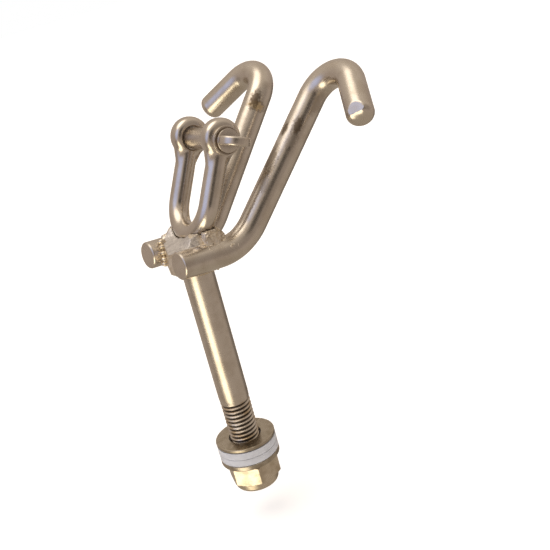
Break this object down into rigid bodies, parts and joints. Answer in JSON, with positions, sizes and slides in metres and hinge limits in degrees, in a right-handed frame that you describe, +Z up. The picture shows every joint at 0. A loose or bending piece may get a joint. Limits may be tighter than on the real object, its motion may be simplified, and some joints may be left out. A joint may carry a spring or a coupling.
{
  "type": "gooseneck reefing horn fitting",
  "caption": "Threaded pivot stud with washers and a lock nut, carrying a pair of outward-curved reefing horns and a D-shackle with a screw pin welded on top.",
  "frame": {"origin": "on the stud's axis, on the upper washer's top face, where the mast bracket rests", "axes": "+Z up the stud towards the horns, +X to the right horn, +Y from the rods' cut front ends to their bends"},
  "size_m": [0.104, 0.0822, 0.1571],
  "materials": {
    "satin_steel": "satin, warm reflections",
    "ground_steel": "ground flat and blended",
    "weld_metal": "rough weld",
    "warm_plated_steel": "bright, warm",
    "white_nylon": "matt"
  },
  "bodies": {
    "fitting": {"pivot_stud": "satin_steel", "horn_right": "satin_steel", "horn_left": "satin_steel", "web": "ground_steel", "stud_fillet": "weld_metal", "under_bead_right": "weld_metal", "under_bead_left": "weld_metal", "rear_bead": "weld_metal", "front_bead": "weld_metal", "saddle_weld": "ground_steel", "shackle_bow": "satin_steel"},
    "pin": {"shackle_pin": "satin_steel"},
    "washer_low": {"lower_washer": "warm_plated_steel"},
    "nut": {"lock_nut": "warm_plated_steel", "nut_insert": "white_nylon"},
    "nylon_low": {"nylon_washer_lower": "white_nylon"},
    "nylon_up": {"nylon_washer_upper": "white_nylon"},
    "washer_up": {"upper_washer": "warm_plated_steel"}
  },
  "joints": [
    {"name": "pin_slide", "type": "slide", "parent": "fitting", "child": "pin", "axis": [0.9971, -0.0662, 0.0384], "range_m": [0, 0.034]},
    {"name": "nut_travel", "type": "slide", "parent": "fitting", "child": "washer_low", "axis": [0, 0, -1], "range_m": [0, 0.012]},
    {"name": "nut_turn", "type": "hinge", "parent": "washer_low", "child": "nut", "pos_m": [0, 0, -0.0161], "axis": [0, 0, -1], "range_deg": [0, 2500]},
    {"name": "nylon_low_slide", "type": "slide", "parent": "washer_low", "child": "nylon_low", "axis": [0, 0, 1], "range_m": [0, 0.006]},
    {"name": "nylon_up_slide", "type": "slide", "parent": "nylon_low", "child": "nylon_up", "axis": [0, 0, 1], "range_m": [0, 0.006]},
    {"name": "washer_up_slide", "type": "slide", "parent": "nylon_up", "child": "washer_up", "axis": [0, 0, 1], "range_m": [0, 0.055]}
  ],
  "couplings": [
    {"joint": "nut_turn", "follows": "nut_travel", "rad_per_m": 3590.4}
  ]
}
